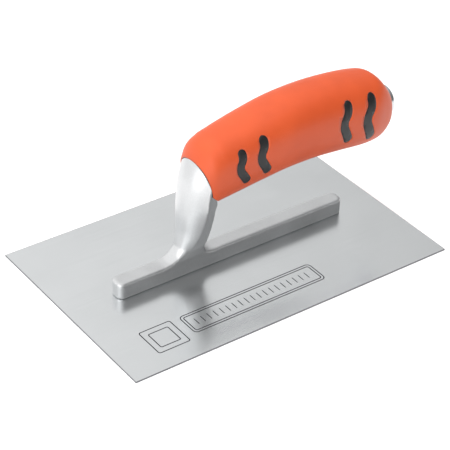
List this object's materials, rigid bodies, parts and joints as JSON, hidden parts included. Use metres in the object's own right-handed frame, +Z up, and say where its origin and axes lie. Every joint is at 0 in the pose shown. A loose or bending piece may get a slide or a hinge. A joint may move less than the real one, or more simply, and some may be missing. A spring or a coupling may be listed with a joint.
{
  "type": "finishing trowel",
  "caption": "Flat rectangular steel blade riveted to a cast aluminium mounting whose gooseneck carries a soft-covered camel-back grip.",
  "frame": {"origin": "centre of the blade's flat working face, which is its underside", "axes": "+X along the blade from the toe, where the neck stands, to the grip's free end; +Z up, away from the working face; +Y across the blade"},
  "size_m": [0.2088, 0.127, 0.0892],
  "materials": {
    "blade_steel": "fine ground satin",
    "rivet_steel": "ground flush with the blade",
    "cast_metal": "tumbled casting, softly polished",
    "core_plastic": "moulded, fine matte",
    "cover_rubber": "soft moulded rubber, satin",
    "plated_steel": "bright zinc plate"
  },
  "bodies": {
    "root": {"blade": "blade_steel", "blade_rivets": "rivet_steel", "mounting": "cast_metal", "grip_core": "core_plastic", "grip_cover": "cover_rubber", "cup_washer": "plated_steel", "handle_bolt": "plated_steel"}
  },
  "joints": []
}
